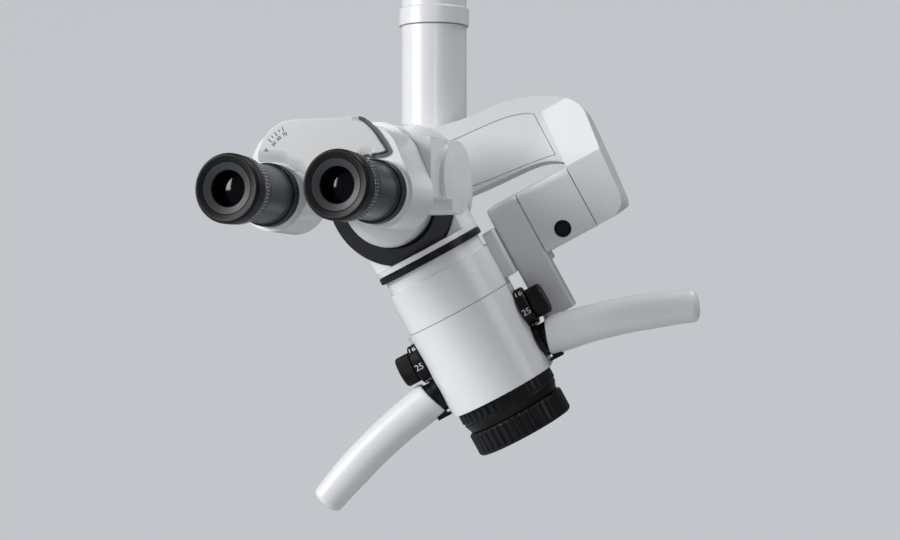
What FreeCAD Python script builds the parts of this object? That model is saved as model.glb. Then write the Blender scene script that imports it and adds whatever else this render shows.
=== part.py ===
import FreeCAD, Part
import math
import os

# Surgical microscope head, hanging from the end of a suspension arm.
# Millimetres, +Z up, origin on the column axis, half way up the mounting stub.

Vec = FreeCAD.Vector
Place = FreeCAD.Placement
Turn = FreeCAD.Rotation
X_AXIS = Vec(1, 0, 0)
Y_AXIS = Vec(0, 1, 0)
Z_AXIS = Vec(0, 0, 1)

# Rest pose, degrees
LATERAL_TILT = 27.6
FORWARD_LEAN = 8.8
TUBE_SWIVEL = -17.63
TUBE_ROLL = 24.57
TUBE_INCLINE = -15.64

# Where the sub-assemblies sit on each other
PIVOT_DROP = 130.0
BODY_FROM_PIVOT = Vec(-15.41, -93.8, -63.45)
ROLL_AXIS_HEIGHT = 47.8
HINGE_FROM_ROLL = Vec(0, -38.2, 17.9)
WING_RADIUS = 23.8
WING_INNER = 33.6
WING_OUTER = 57.0
HINGE_PIN_RADIUS = 6.0
KNUCKLE_RADIUS = 20.0
YOKE_RADIUS = 30.5

# Column
STUB_RADIUS = 22.9
COLLAR_RADIUS = 24.6
COLLAR_HEIGHT = 24.4
COLUMN_RADIUS = 23.0
COLUMN_BORE = 18.0
STEM_RADIUS = 8.0
PIN_RADIUS = 9.0
FOOT_RADIUS = 24.0
FOOT_HALF = 23.5

# Running clearance on a radius, and the gap between faces that turn past each other
RUN = 0.05
FACE_GAP = 0.3

# Optics body; the sides are flats cut this far into the round
BODY_RADIUS = 37.6
BODY_FLAT = 1.0
BODY_HALF_WIDTH = BODY_RADIUS - BODY_FLAT
BODY_BACK = 30.0
BODY_CORNER = 10.0
BODY_TOP = -9.0
BODY_SEAM = -37.7
BODY_BOTTOM = -99.8
WALL = 2.5
NECK_RADIUS = 34.7
RING_RADIUS = 37.6
RING_HEIGHT = 4.4

# Magnification knobs and dials
KNOB_HEIGHT = -58.0
DRUM_RADIUS = 24.5
DRUM_STUB_RADIUS = 5.0
DIAL_RADIUS = 13.6
DIAL_LENGTH = 6.8
KNOB_RADIUS = 10.4
KNOB_LENGTH = 11.0

# Objective
MOUNT_RADIUS = 34.6
OBJECTIVE_RADIUS = 34.2
OBJECTIVE_SPLIT = -115.0
OBJECTIVE_BOTTOM = -131.6
CELL_RADIUS = 26.5
LENS_RADIUS = 24.4

# Handles
HANDLE_HEIGHT = -81.5
HANDLE_START = 40.6
STUB_SHAFT_RADIUS = 6.0
HANDLE_FLANGE_RADIUS = 12.2

# Block and carrier arm
BLOCK_LEFT = 68.2
BLOCK_RIGHT = 106.5
BLOCK_FRONT = 14.0
BLOCK_BACK = 58.0
BLOCK_TOP = 10.8
BLOCK_BOTTOM = -33.6
CARRIER_LEFT = 45.2
SHANK_BACK = 29.0
SHANK_BOTTOM = -73.2
TILT_Y = 36.0
TILT_Z = -11.5
SPINDLE_RADIUS = 9.0
PLUG_X = 85.3
PLUG_Z = -24.1
PLUG_RADIUS = 5.8
SCREW_RADIUS = 3.3

# Binocular tube
PUPIL_HALF = 36.5
ARM_PIVOT_X = 20.0
ARM_PIVOT_Z = 22.0
EYE_FROM_HINGE = Vec(0, -77.0, -14.0)
BRIDGE_RADIUS = 26.0
COVER_THICKNESS = 2.8
ARM_BACK = 38.0
POST_RADIUS = 7.0
LOBE_RADIUS = 22.8
BOSS_RADIUS = 20.6
BARREL_RADIUS = 13.0
EYEPIECE_RADIUS = 20.2
SLEEVE_RADIUS = 17.0
EYECUP_RADIUS = 21.8

COLUMN = Place()
ARCH = Place(Vec(0, 0, -PIVOT_DROP), Turn(Vec(0, -1, 0), LATERAL_TILT))
BODY = ARCH * Place(BODY_FROM_PIVOT, Turn(X_AXIS, FORWARD_LEAN))
ADAPTER = BODY * Place(Vec(0, 0, 0), Turn(Z_AXIS, TUBE_SWIVEL))
ROLLER = ADAPTER * Place(Vec(0, 0, ROLL_AXIS_HEIGHT), Turn(Y_AXIS, TUBE_ROLL))
HINGE = ROLLER * Place(HINGE_FROM_ROLL, Turn(X_AXIS, TUBE_INCLINE))
EYES = HINGE * Place(EYE_FROM_HINGE, Turn())


# Shape helpers

def save(name, shape, frame):
    """Set a shape made in its own frame into the assembly and write its STEP file."""
    placed = shape.copy()
    placed.Placement = frame * placed.Placement
    placed.exportStep("parts/" + name + ".step")


def cylinder(radius, start, length, axis):
    return Part.makeCylinder(radius, length, start, axis)


def along_x(radius, x0, x1, y=0.0, z=0.0):
    return cylinder(radius, Vec(x0, y, z), x1 - x0, X_AXIS)


def along_y(radius, y0, y1, x=0.0, z=0.0):
    return cylinder(radius, Vec(x, y0, z), y1 - y0, Y_AXIS)


def along_z(radius, z0, z1, x=0.0, y=0.0):
    return cylinder(radius, Vec(x, y, z0), z1 - z0, Z_AXIS)


def block(x0, x1, y0, y1, z0, z1):
    return Part.makeBox(x1 - x0, y1 - y0, z1 - z0, Vec(x0, y0, z0))


def turned(profile, axis=Z_AXIS, centre=Vec(0, 0, 0)):
    """Turn a closed (radius, height) profile about an axis through the centre."""
    points = [Vec(radius, 0, height) for radius, height in profile]
    face = Part.Face(Part.makePolygon(points + [points[0]]))
    solid = face.revolve(Vec(0, 0, 0), Z_AXIS, 360)
    solid.Placement = Place(centre, Turn(Z_AXIS, axis))
    return solid


def rounded(solid, radius, chosen):
    """Round the edges that the test picks out."""
    edges = [edge for edge in solid.Edges if chosen(edge)]
    return solid.makeFillet(radius, edges)


def edge_runs(edge, axis):
    if len(edge.Vertexes) < 2 or edge.Curve.TypeId != "Part::GeomLine":
        return False
    way = edge.Vertexes[1].Point - edge.Vertexes[0].Point
    return way.Length > 0 and abs(way.normalize().dot(axis)) > 0.999


def plate(points, y0, y1):
    """Extrude a closed polygon of (x, z) points from y0 to y1."""
    corners = [Vec(x, y0, z) for x, z in points]
    face = Part.Face(Part.makePolygon(corners + [corners[0]]))
    return face.extrude(Vec(0, y1 - y0, 0))


def curved_plate(runs, y0, y1):
    """Extrude a closed outline made of curves through (x, z) points from y0 to y1."""
    edges = []
    for run in runs:
        points = [Vec(x, y0, z) for x, z in run]
        if len(points) == 2:
            edges.append(Part.LineSegment(points[0], points[1]).toShape())
        else:
            curve = Part.BSplineCurve()
            curve.interpolate(points)
            edges.append(curve.toShape())
    face = Part.Face(Part.Wire(edges))
    return face.extrude(Vec(0, y1 - y0, 0))


def link(x0, z0, r0, x1, z1, r1, y0, y1):
    """A flat link: two discs and the belt-shaped piece between them."""
    away = math.hypot(x1 - x0, z1 - z0)
    heading = math.atan2(z1 - z0, x1 - x0)
    spread = math.acos((r0 - r1) / away)
    corners = []
    for x, z, r, side in ((x0, z0, r0, 1), (x1, z1, r1, 1), (x1, z1, r1, -1), (x0, z0, r0, -1)):
        angle = heading + side * spread
        corners.append((x + r * math.cos(angle), z + r * math.sin(angle)))
    solid = plate(corners, y0, y1)
    solid = solid.fuse([along_y(r0, y0, y1, x0, z0), along_y(r1, y0, y1, x1, z1)])
    return solid.removeSplitter()


def ribbed(radius, depth, count, z0, z1, share=0.5):
    """A ribbed cylinder about Z: flat-topped ribs with grooves between them."""
    corners = []
    step = 2 * math.pi / count
    for number in range(count):
        start = number * step
        for part, r in ((0.0, radius), (share, radius), (share + 0.12, radius - depth),
                        (0.88, radius - depth)):
            angle = start + part * step
            corners.append(Vec(r * math.cos(angle), r * math.sin(angle), z0))
    face = Part.Face(Part.makePolygon(corners + [corners[0]]))
    return face.extrude(Vec(0, 0, z1 - z0))


def facing_x(solid, x, y, z):
    """Lay a shape made about Z along X, with its base at the given point."""
    moved = solid.copy()
    moved.Placement = Place(Vec(x, y, z), Turn(Y_AXIS, 90))
    return moved


def mirrored(solid):
    return solid.mirror(Vec(0, 0, 0), X_AXIS)


# Column: collar of the suspension arm, swivel stem, tube and foot

def make_collar():
    outline = [(STUB_RADIUS - 1, 6), (STUB_RADIUS, 5), (STUB_RADIUS, -11.6), (COLLAR_RADIUS, -12.6),
               (COLLAR_RADIUS, -COLLAR_HEIGHT), (12, -COLLAR_HEIGHT), (12, -9), (15, -9), (15, 6)]
    save("swing_arm_collar", turned(outline), COLUMN)
    bush = [(STEM_RADIUS + RUN, -COLLAR_HEIGHT), (12, -COLLAR_HEIGHT), (12, -9), (14.5, -9),
            (14.5, -7), (STEM_RADIUS + RUN, -7)]
    save("swivel_bush", turned(bush), COLUMN)


def make_column():
    stem = [(0, -48), (STEM_RADIUS, -48), (STEM_RADIUS, -6.9), (13, -6.9), (13, -4), (12, -3), (0, -3)]
    save("swivel_stem", turned(stem), COLUMN)
    top = -COLLAR_HEIGHT - FACE_GAP
    tube = [(STEM_RADIUS, top), (COLUMN_RADIUS - 0.6, top), (COLUMN_RADIUS, top - 0.6),
            (COLUMN_RADIUS, -104), (COLUMN_BORE, -104), (COLUMN_BORE, -48), (STEM_RADIUS, -48)]
    save("column_tube", turned(tube), COLUMN)
    neck = along_z(COLUMN_RADIUS, -PIVOT_DROP, -104).fuse(along_z(COLUMN_BORE, -104, -98))
    edge = FOOT_HALF - 2
    barrel = turned([(0, -FOOT_HALF), (FOOT_RADIUS - 2, -FOOT_HALF), (FOOT_RADIUS, -edge),
                     (FOOT_RADIUS, edge), (FOOT_RADIUS - 2, FOOT_HALF), (0, FOOT_HALF)], Y_AXIS,
                    Vec(0, 0, -PIVOT_DROP))
    foot = neck.fuse(barrel).removeSplitter()
    foot = foot.cut(along_y(PIN_RADIUS, -30, 16, 0, -PIVOT_DROP))
    save("column_foot", foot, COLUMN)
    pin = [(0, -16), (PIN_RADIUS, -16), (PIN_RADIUS, 42.5), (12.5, 42.5), (12.5, 45), (0, 45)]
    save("lateral_pin", turned(pin, Vec(0, -1, 0), Vec(0, 0, -PIVOT_DROP)), COLUMN)


# Arch arm from the lateral pivot to the forward-tilt joint

ARCH_FRONT = -45.0
ARCH_BACK = -24.0
END_X = 91.5
UPPER_RUN = [(0, 25.5), (19.6, 22.8), (42.7, 17.7), (68.8, 15.3), (89.9, 9.4), (106, 0.8),
             (115.2, -9.4), (118.4, -23.1)]
RIGHT_RUN = [(118.4, -23.1), (116.9, -53.2), (115.3, -78.2)]
CORNER_RUN = [(115.3, -78.2), (111.9, -89.3), (102.5, -94.6)]
LOWER_RUN = [(END_X, -44.6), (78.6, -35.6), (57.1, -32.3), (23.5, -30.1), (0, -25.5)]
HUB_RUN = [(0, -25.5), (-18, -18), (-25.5, 0), (-18, 18), (0, 25.5)]


def arch_outline(y0, y1):
    bottom = [CORNER_RUN[-1], (END_X, -95.6)]
    inner = [(END_X, -95.6), LOWER_RUN[0]]
    return curved_plate([UPPER_RUN, RIGHT_RUN, CORNER_RUN, bottom, inner, LOWER_RUN, HUB_RUN], y0, y1)


def end_profile():
    """Side view of the shoulder that runs from the arch down and forward into the end block."""
    points = [(ARCH_BACK, 26), (ARCH_FRONT, 26), (ARCH_FRONT, -3.4), (-66, -30.4), (-81.4, -50.1),
              (-74.6, -94.0), (-31.1, -87.3), (ARCH_BACK, -58.4)]
    corners = [Vec(END_X, y, z) for y, z in points]
    face = Part.Face(Part.makePolygon(corners + [corners[0]]))
    return face.extrude(Vec(40, 0, 0))


def cover_outline(y0, y1, grow):
    upper = [(15.9, 9.8 + grow), (31.9, 7.7 + grow), (59.4, 5.5 + grow), (77.7, 1.6 + grow), (86 + grow, -2.6)]
    right = [(86 + grow, -2.6), (86 + grow, -34.1 - grow)]
    lower = [(86 + grow, -34.1 - grow), (73.5, -31.9 - grow), (47, -28.8 - grow), (26.4, -26.2 - grow)]
    left = [(26.4, -26.2 - grow), (17.6 - grow, -9.7), (15.9, 9.8 + grow)]
    return curved_plate([upper, right, lower, left], y0, y1)


def make_arch():
    arm = arch_outline(-90, ARCH_BACK)
    panel = block(-40, END_X + 5, ARCH_FRONT, ARCH_BACK, -60, 40)
    arm = arm.common(panel.fuse(end_profile())).removeSplitter()
    arm = arm.cut(along_y(13, -50, -20))
    arm = arm.cut(cover_outline(ARCH_FRONT - 1, ARCH_FRONT + 2.6, 0.3))
    arm = arm.cut(cover_outline(ARCH_BACK - 2.6, ARCH_BACK + 1, 0.3))
    arm = arm.cut(cover_outline(ARCH_FRONT + 5, ARCH_BACK - 2.7, -4.0))
    arm = arm.cut(spindle_hole())
    save("arch_arm", arm, ARCH)
    save("arch_front_cover", cover_outline(ARCH_FRONT, ARCH_FRONT + 2.6, 0.0), ARCH)
    rear = cover_outline(ARCH_BACK - 2.6, ARCH_BACK, 0.0)
    spots = [(26, 0), (30, -20), (78, -6), (80, -27)]
    for x, z in spots:
        rear = rear.cut(along_y(1.6, ARCH_BACK - 3, ARCH_BACK + 1, x, z))
    save("arch_rear_cover", rear, ARCH)
    screws = []
    for x, z in spots:
        screw = along_y(1.6, ARCH_BACK - 2.6, ARCH_BACK, x, z)
        screw = screw.fuse(along_y(2.9, ARCH_BACK, ARCH_BACK + 1.6, x, z))
        socket = Part.Face(Part.makePolygon(hexagon(1.15, x, z, ARCH_BACK + 0.6)))
        screws.append(screw.cut(socket.extrude(Vec(0, 2, 0))).removeSplitter())
    save("cover_screws", Part.Compound(screws), ARCH)
    bush = [(PIN_RADIUS + RUN, 24.5), (13, 24.5), (13, 42.4), (PIN_RADIUS + RUN, 42.4)]
    save("pivot_bush", turned(bush, Vec(0, -1, 0)), ARCH)


def hexagon(radius, x, z, y):
    points = []
    for number in range(7):
        angle = math.radians(60 * number)
        points.append(Vec(x + radius * math.cos(angle), y, z + radius * math.sin(angle)))
    return points


def spindle_hole():
    """Hole in the arch's end block that holds the tilt spindle, in the arch frame."""
    hole = along_x(SPINDLE_RADIUS, 100, 124, TILT_Y, TILT_Z)
    hole.Placement = Place(BODY_FROM_PIVOT, Turn(X_AXIS, FORWARD_LEAN)) * hole.Placement
    return hole


# Carrier: tilt block, friction screw, down-going arm and rail to the body

def make_tilt_block():
    spindle = [(0, 74), (SPINDLE_RADIUS - 1, 74), (SPINDLE_RADIUS, 75), (SPINDLE_RADIUS, 124), (0, 124)]
    save("tilt_spindle", turned(spindle, X_AXIS, Vec(0, TILT_Y, TILT_Z)), BODY)
    housing = block(BLOCK_LEFT, BLOCK_RIGHT, BLOCK_FRONT, BLOCK_BACK, BLOCK_BOTTOM, BLOCK_TOP)
    housing = rounded(housing, 10, lambda edge: edge_runs(edge, X_AXIS) and edge.BoundBox.YMin > 50)
    housing = rounded(housing, 5, lambda edge: edge_runs(edge, X_AXIS) and edge.BoundBox.YMax < 20)
    housing = housing.cut(along_x(SPINDLE_RADIUS + 3, 72, BLOCK_RIGHT + 1, TILT_Y, TILT_Z))
    housing = housing.cut(along_y(PLUG_RADIUS, BLOCK_FRONT - 1, BLOCK_FRONT + 5, PLUG_X, PLUG_Z))
    housing = housing.cut(along_y(SCREW_RADIUS, BLOCK_FRONT + 4, TILT_Y + 4, PLUG_X, PLUG_Z))
    save("tilt_housing", housing, BODY)
    outer = SPINDLE_RADIUS + 3
    bush = [(SPINDLE_RADIUS + RUN, 74), (outer, 74), (outer, 106), (SPINDLE_RADIUS + RUN, 106)]
    bush = turned(bush, X_AXIS, Vec(0, TILT_Y, TILT_Z))
    bush = bush.cut(along_y(SCREW_RADIUS + 0.5, 15, TILT_Y + 4, PLUG_X, PLUG_Z))
    save("tilt_bush", bush, BODY)
    save("friction_screw", along_y(SCREW_RADIUS, BLOCK_FRONT + 5, TILT_Y, PLUG_X, PLUG_Z), BODY)
    plug = turned([(0, 0), (PLUG_RADIUS, 0), (PLUG_RADIUS, 3.4), (PLUG_RADIUS - 1.2, 3.8),
                   (PLUG_RADIUS - 1.8, 3.0), (0, 3.0)], Vec(0, -1, 0), Vec(PLUG_X, BLOCK_FRONT + 5, PLUG_Z))
    save("friction_plug", plug, BODY)


def make_carrier_arm():
    right = BLOCK_LEFT - 0.2
    head = block(CARRIER_LEFT, right, BLOCK_FRONT, BLOCK_BACK, BLOCK_BOTTOM - 6, BLOCK_TOP)
    shank = block(CARRIER_LEFT, right, BLOCK_FRONT, SHANK_BACK, SHANK_BOTTOM, BLOCK_BOTTOM)
    arm = head.fuse(shank).removeSplitter()
    arm = rounded(arm, 5, lambda edge: edge_runs(edge, X_AXIS) and edge.BoundBox.ZMin > -30)
    arm = rounded(arm, 2.5, lambda edge: edge_runs(edge, Z_AXIS) and edge.BoundBox.YMax < 20)
    save("carrier_arm", arm, BODY)
    rail = block(BODY_HALF_WIDTH, CARRIER_LEFT - 0.1, 3, 27, -34.7, -2.2)
    rail = rounded(rail, 2.5, lambda edge: edge_runs(edge, Z_AXIS) and edge.BoundBox.XMin > 44)
    save("side_rail", rail, BODY)


# Optics body: housings, covers, chassis

def body_section(inset, z0, z1):
    """Round-fronted body section with flat sides and a rounded back, from z0 to z1."""
    radius = BODY_RADIUS - inset
    half = BODY_HALF_WIDTH - inset
    back = BODY_BACK - inset
    corner = BODY_CORNER - inset
    front_y = -math.sqrt(radius * radius - half * half)
    edges = [Part.Arc(Vec(-half, front_y, z0), Vec(0, -radius, z0), Vec(half, front_y, z0)).toShape()]
    edges.append(Part.LineSegment(Vec(half, front_y, z0), Vec(half, back - corner, z0)).toShape())
    cut = corner * (1 - math.sqrt(0.5))
    edges.append(Part.Arc(Vec(half, back - corner, z0), Vec(half - cut, back - cut, z0),
                          Vec(half - corner, back, z0)).toShape())
    edges.append(Part.LineSegment(Vec(half - corner, back, z0), Vec(corner - half, back, z0)).toShape())
    edges.append(Part.Arc(Vec(corner - half, back, z0), Vec(cut - half, back - cut, z0),
                          Vec(-half, back - corner, z0)).toShape())
    edges.append(Part.LineSegment(Vec(-half, back - corner, z0), Vec(-half, front_y, z0)).toShape())
    face = Part.Face(Part.Wire(edges))
    return face.extrude(Vec(0, 0, z1 - z0))


def make_housings():
    window = block(-24, 24, 20, 40, BODY_BOTTOM + 8, BODY_TOP - 8)
    upper = body_section(0, BODY_SEAM, BODY_TOP).fuse(along_z(NECK_RADIUS, BODY_TOP, 0)).removeSplitter()
    upper = upper.cut(body_section(WALL, BODY_SEAM, BODY_TOP - 3)).cut(along_z(26, -20, 1))
    save("upper_housing", upper.cut(window), BODY)
    lower = body_section(0, BODY_BOTTOM, BODY_SEAM - FACE_GAP)
    lower = lower.cut(body_section(WALL, BODY_BOTTOM + 3, BODY_SEAM)).cut(along_z(CELL_RADIUS + WALL, -110, -90))
    lower = lower.cut(along_x(9, -50, 50, 0, KNOB_HEIGHT))
    lower = lower.cut(along_x(STUB_SHAFT_RADIUS, -50, 50, 0, HANDLE_HEIGHT)).cut(window)
    save("lower_housing", lower, BODY)
    cover = block(-28, 28, BODY_BACK, BODY_BACK + 4, BODY_BOTTOM + 4, BODY_TOP - 4)
    cover = rounded(cover, 6, lambda edge: edge_runs(edge, Y_AXIS))
    cover = cover.fuse(block(-23.7, 23.7, BODY_BACK - 2.4, BODY_BACK, BODY_BOTTOM + 8.3, BODY_TOP - 8.3))
    save("rear_cover", cover.removeSplitter(), BODY)
    marks = []
    for side in (1, -1):
        mark = Part.makePolygon([Vec(0, -8.5, -47), Vec(0, -3.5, -47), Vec(0, -6, -52.5), Vec(0, -8.5, -47)])
        mark = Part.Face(mark).extrude(Vec(2.4, 0, 0))
        mark.translate(Vec(BODY_HALF_WIDTH, 0, 8.4))
        marks.append(mark if side == 1 else mirrored(mark))
    save("index_marks", Part.Compound(marks), BODY)


def make_chassis():
    side = BODY_HALF_WIDTH - WALL
    disc = along_z(34.0, -18, -12).common(block(-side, side, -40, 26, -20, -10))
    low = BODY_BOTTOM + 3
    foot = along_z(34.0, low, low + 5).common(block(-side, side, -40, 26, low - 1, low + 6))
    chassis = disc.fuse([foot, block(side - 3, side, -7.8, 19, low, -12),
                         block(-side, 3 - side, -7.8, 19, low, -12)]).removeSplitter()
    chassis = chassis.cut(along_z(24, -25, -5)).cut(along_z(CELL_RADIUS + WALL, -110, -90))
    chassis = chassis.cut(along_x(9, -50, 50, 0, KNOB_HEIGHT))
    chassis = chassis.cut(along_x(STUB_SHAFT_RADIUS, -50, 50, 0, HANDLE_HEIGHT))
    save("optics_chassis", chassis, BODY)


# Magnification changer: drum with Galilean lenses, knobs and dials

def make_drum():
    stub = DRUM_STUB_RADIUS
    profile = [(0, -52), (stub, -52), (stub, -24), (DRUM_RADIUS, -24), (DRUM_RADIUS, 24), (stub, 24),
               (stub, 52), (0, 52)]
    drum = turned(profile, X_AXIS, Vec(0, 0, KNOB_HEIGHT))
    lenses = []
    for number in range(3):
        angle = 60.0 * number
        way = Vec(0, math.sin(math.radians(angle)), math.cos(math.radians(angle)))
        for x in (-11.8, 11.8):
            centre = Vec(x, 0, KNOB_HEIGHT)
            drum = drum.cut(cylinder(9, centre - way * 30, 60, way))
            if number > 0:
                for end in (-1, 1):
                    lenses.append(cylinder(9, centre + way * (end * (DRUM_RADIUS - 2.5) - 1.5), 3, way))
    save("magnification_drum", drum, BODY)
    save("drum_lenses", Part.Compound(lenses), BODY)
    bearings = []
    for side in (1, -1):
        bore = DRUM_STUB_RADIUS + RUN
        bearing = turned([(bore, 30.8), (9, 30.8), (9, BODY_HALF_WIDTH), (bore, BODY_HALF_WIDTH)], X_AXIS,
                         Vec(0, 0, KNOB_HEIGHT))
        bearings.append(bearing if side == 1 else mirrored(bearing))
    save("drum_bearings", Part.Compound(bearings), BODY)


def make_knobs():
    bore = DRUM_STUB_RADIUS
    dial = turned([(bore, 0), (DIAL_RADIUS - 1, 0), (DIAL_RADIUS, 0.8), (DIAL_RADIUS, DIAL_LENGTH - 0.8),
                   (DIAL_RADIUS - 0.8, DIAL_LENGTH), (bore, DIAL_LENGTH)])
    knob = turned([(0, 0), (KNOB_RADIUS - 1, 0), (KNOB_RADIUS - 0.6, 1.2), (KNOB_RADIUS - 0.6, KNOB_LENGTH - 1),
                   (KNOB_RADIUS - 1.2, KNOB_LENGTH), (0, KNOB_LENGTH)])
    knob = knob.fuse(ribbed(KNOB_RADIUS, 0.5, 40, 1.2, KNOB_LENGTH - 1.4))
    knob = knob.cut(along_z(bore, -1, 8.2)).removeSplitter()
    start = BODY_HALF_WIDTH + FACE_GAP
    dial = facing_x(dial, start, 0, KNOB_HEIGHT)
    knob = facing_x(knob, start + DIAL_LENGTH + 0.1, 0, KNOB_HEIGHT)
    save("right_dial", dial, BODY)
    save("right_knob", knob, BODY)
    save("left_dial", mirrored(dial), BODY)
    save("left_knob", mirrored(knob), BODY)


# Objective: knurled mounting ring, knurled focus ring, sliding lens cell

def make_objective():
    top = BODY_BOTTOM
    split = OBJECTIVE_SPLIT
    low = OBJECTIVE_BOTTOM
    bore = CELL_RADIUS
    grip = ribbed(MOUNT_RADIUS, 0.9, 60, split + 2.4, top - 2.0)
    core = turned([(bore, split + 0.2), (MOUNT_RADIUS - 2.2, split + 0.2), (MOUNT_RADIUS - 2.2, split + 1.2),
                   (MOUNT_RADIUS - 0.9, split + 2.2), (MOUNT_RADIUS - 0.9, top - 1.8),
                   (MOUNT_RADIUS - 1.8, top), (bore, top)])
    mount = grip.fuse(core).cut(along_z(bore, -120, -90)).removeSplitter()
    neck = bore + WALL
    mount = mount.fuse(turned([(bore, top), (neck, top), (neck, top + 8), (bore, top + 8)])).removeSplitter()
    save("objective_mount_ring", mount, BODY)
    grip = ribbed(OBJECTIVE_RADIUS, 1.0, 56, low + 2.2, split - 1.6)
    core = turned([(bore, low), (OBJECTIVE_RADIUS - 2, low), (OBJECTIVE_RADIUS - 1, low + 1),
                   (OBJECTIVE_RADIUS - 1, split - 1.2), (OBJECTIVE_RADIUS - 1.8, split - 0.2),
                   (bore, split - 0.2)])
    focus = grip.fuse(core).cut(along_z(bore, -136, -110)).removeSplitter()
    save("focus_ring", focus, BODY)
    outer = bore - RUN
    seat = low + 7
    cell = turned([(LENS_RADIUS - 1.9, low + 3.6), (outer, low + 3.6), (outer, top + 4.3),
                   (LENS_RADIUS, top + 4.3), (LENS_RADIUS, seat), (LENS_RADIUS - 1.9, seat)])
    save("lens_cell", cell, BODY)
    rise = 1.6
    lens = along_z(LENS_RADIUS, seat, seat + 8)
    ball_radius = (LENS_RADIUS * LENS_RADIUS + rise * rise) / (2 * rise)
    ball = Part.makeSphere(ball_radius, Vec(0, 0, seat + 8 - ball_radius))
    save("objective_lens", lens.common(ball), BODY)


# Positioning handles on stub shafts, each with a sprung lock button

def ellipse_wire(centre, way, wide, high):
    """Upright ellipse square to the given direction, as a wire for lofting."""
    side = way.cross(Z_AXIS).normalize()
    up = side.cross(way).normalize()
    return Part.Wire(Part.Ellipse(centre + up * high, centre + side * wide, centre).toShape())


# Centre line and half height of the right handle, as (x, z, half height)
HANDLE_LINE = [(HANDLE_START, -81.6, 13.2), (51, -83.3, 13.0), (59, -84.8, 12.8), (67, -86.3, 12.5),
               (75, -88.1, 12.3), (84, -90.3, 12.2), (93, -92.8, 12.0), (103, -95.8, 11.95),
               (112, -98.9, 11.85), (122, -102.4, 11.5), (131, -105.9, 11.1), (137, -108.3, 10.9),
               (140, -109.5, 10.2), (142, -110.3, 8.6), (143.2, -110.8, 6.0)]


def make_handles():
    stations = []
    for x, z, high in HANDLE_LINE:
        stations.append((Vec(x, -0.07 * (x - HANDLE_START), z), high))
    wires = []
    for number, (centre, high) in enumerate(stations):
        before = stations[max(0, number - 1)][0]
        after = stations[min(len(stations) - 1, number + 1)][0]
        way = X_AXIS if number == 0 else (after - before).normalize()
        wires.append(ellipse_wire(centre, way, 0.87 * high, high))
    grip = Part.makeLoft(wires, True, True)
    grip = grip.cut(plate([(49.9, -60), (39.2, -97.2), (30, -97.2), (30, -60)], -20, 20))
    grip = grip.fuse(along_x(STUB_SHAFT_RADIUS + 3.4, HANDLE_START, 53, 0, HANDLE_HEIGHT))
    grip = grip.cut(along_x(STUB_SHAFT_RADIUS + RUN, 30, 56, 0, HANDLE_HEIGHT))
    grip = grip.cut(block(30, 47.8, -5.4, 5.4, -101, -88.8))
    button = block(HANDLE_START + 0.1, 47.4, -5, 5, -97.4, -90.4)
    button = button.fuse(block(37.8, 42, -5, 5, -97.4, -95.7)).removeSplitter()
    for number in range(4):
        button = button.cut(block(37, 48, -3.4 + 2 * number, -2.6 + 2 * number, -98, -96.9))
    start = BODY_HALF_WIDTH
    stub = along_x(STUB_SHAFT_RADIUS, start - 4.5, 55.6, 0, HANDLE_HEIGHT)
    flange = along_x(HANDLE_FLANGE_RADIUS, start, HANDLE_START - FACE_GAP, 0, HANDLE_HEIGHT)
    flange = flange.cut(along_x(DIAL_RADIUS + 0.4, start - 1, HANDLE_START, 0, KNOB_HEIGHT))
    stub = stub.fuse(flange).removeSplitter()
    save("right_handle", grip, BODY)
    save("left_handle", mirrored(grip), BODY)
    save("handle_stubs", Part.Compound([stub, mirrored(stub)]), BODY)
    save("right_lock_button", button, BODY)
    save("left_lock_button", mirrored(button), BODY)


# Dovetail ring and deflecting adapter

def make_ring():
    ring = turned([(28.0, 0), (RING_RADIUS - 0.5, 0), (RING_RADIUS, 0.5), (RING_RADIUS, RING_HEIGHT - 0.5),
                   (RING_RADIUS - 0.5, RING_HEIGHT), (26.4, RING_HEIGHT)])
    way = Vec(-0.25, -0.97, 0).normalize()
    inner = Vec(0, 0, RING_HEIGHT / 2) + way * (RING_RADIUS - 9)
    save("dovetail_ring", ring.cut(cylinder(1.7, inner, 20, way)), BODY)
    save("clamp_screw", cylinder(1.7, inner, 8.6, way), BODY)


def make_adapter():
    dovetail = [(22, 0.4), (27.7, 0.4), (26.4, RING_HEIGHT - 0.2), (26.2, 4.9), (22, 4.9)]
    save("adapter_dovetail", turned(dovetail), ADAPTER)
    riser = along_z(37.3, 4.9, ROLL_AXIS_HEIGHT)
    drum = turned([(0, -26), (42.4, -26), (44.4, -24), (44.4, 11), (43.4, 12), (0, 12)], Vec(0, -1, 0),
                  Vec(0, 0, ROLL_AXIS_HEIGHT))
    housing = riser.fuse(drum).removeSplitter().cut(block(-60, 60, -60, 60, -10, 4.9))
    housing = housing.cut(block(-60, 60, -60, -12, 8.4, 60))
    recess = along_y(41.7, -13, -8, 0, ROLL_AXIS_HEIGHT)
    seat = along_y(28 + RUN, -9, -2.5, 0, ROLL_AXIS_HEIGHT)
    path = along_z(22, 4, ROLL_AXIS_HEIGHT).fuse(along_y(22, -10, 0, 0, ROLL_AXIS_HEIGHT))
    path = path.fuse(along_y(22, 0, 22, 0, ROLL_AXIS_HEIGHT)).fuse(along_z(22, ROLL_AXIS_HEIGHT, 70))
    open_side = block(-60, 60, -60, 0, -60, 60)
    open_side.Placement = Place(Vec(0, 0, ROLL_AXIS_HEIGHT), Turn(X_AXIS, 45))
    plate_shape = block(-15, 15, 0, 3, -13, 13)
    plate_shape.Placement = Place(Vec(0, 0, ROLL_AXIS_HEIGHT), Turn(X_AXIS, 45))
    housing = housing.cut(path.common(open_side)).cut(recess).cut(seat).cut(plate_shape)
    save("adapter_housing", housing, ADAPTER)
    save("deflection_mirror", plate_shape, ADAPTER)


# Roll bearing, yoke and hinge

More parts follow.
